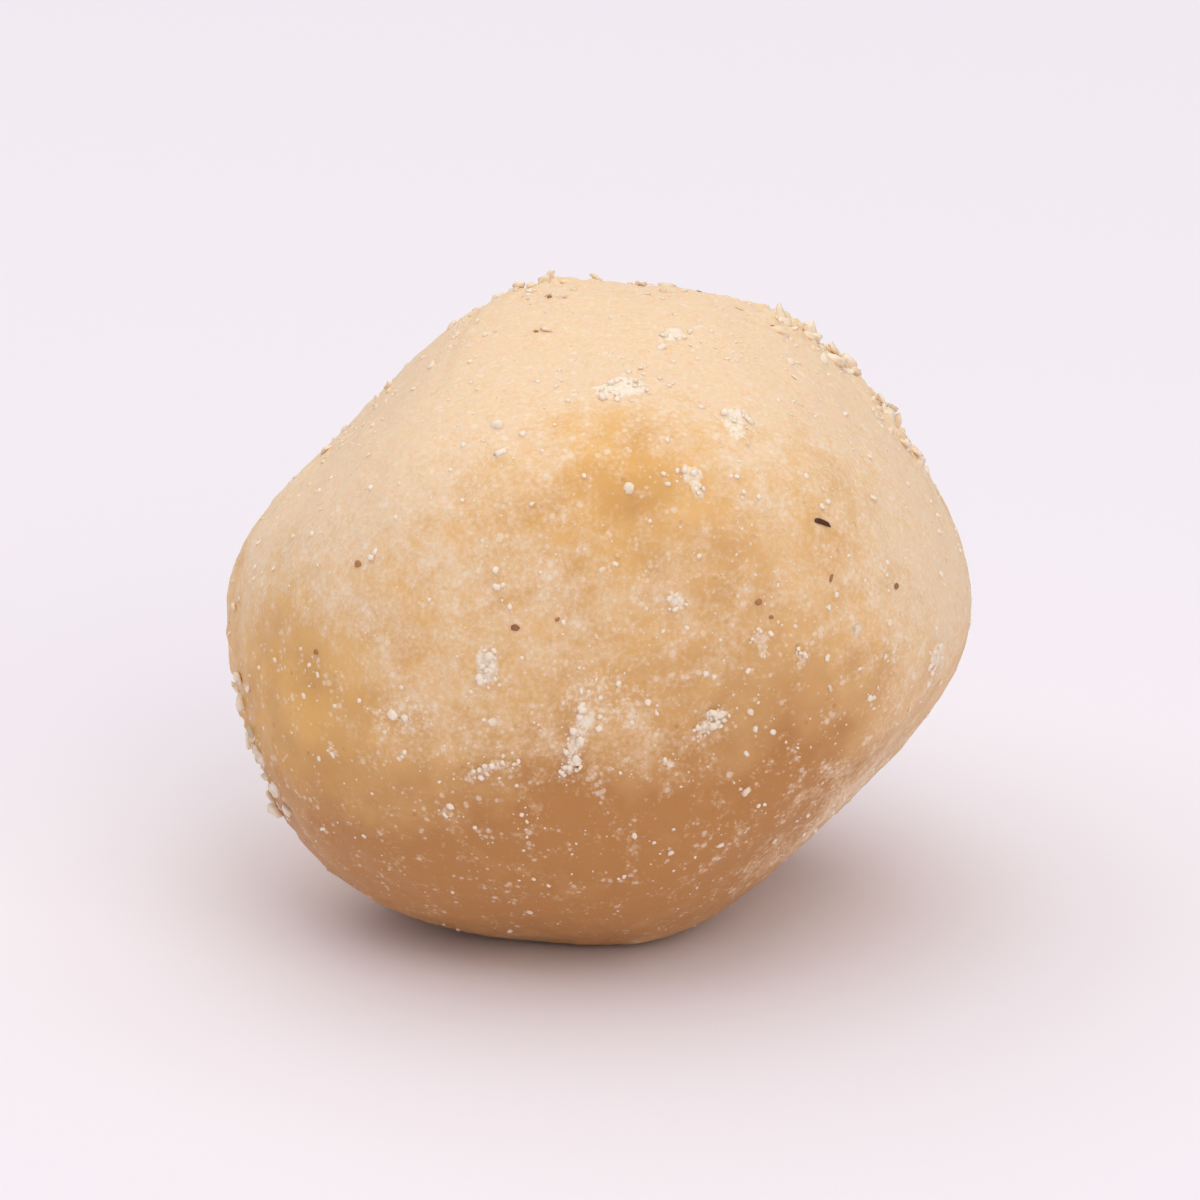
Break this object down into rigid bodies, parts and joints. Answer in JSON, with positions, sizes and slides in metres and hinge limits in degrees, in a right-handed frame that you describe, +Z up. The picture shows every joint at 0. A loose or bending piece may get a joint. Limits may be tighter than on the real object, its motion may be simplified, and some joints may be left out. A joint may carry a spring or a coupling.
{
  "type": "shelled macadamia kernel",
  "caption": "Whole shelled macadamia kernel, dry roasted and salted: a rounded, softly faceted pale gold body that rests on a small flat spot.",
  "frame": {"origin": "on the surface that the kernel rests on, under the middle of its bounding box", "axes": "+Z up from the resting spot; -Y towards the front, the side with the broad flattish face; +X to the right, along its greatest width"},
  "size_m": [0.0208, 0.0186, 0.0174],
  "materials": {
    "kernel_flesh": "dry roasted nut flesh, satin, dusty with fine salt",
    "salt": "fine white salt crystals",
    "nut_crumb": "dry crumbs of the same nut",
    "skin_speck": "dry brown flecks of seed coat"
  },
  "bodies": {
    "root": {"kernel": "kernel_flesh"}
  },
  "joints": []
}
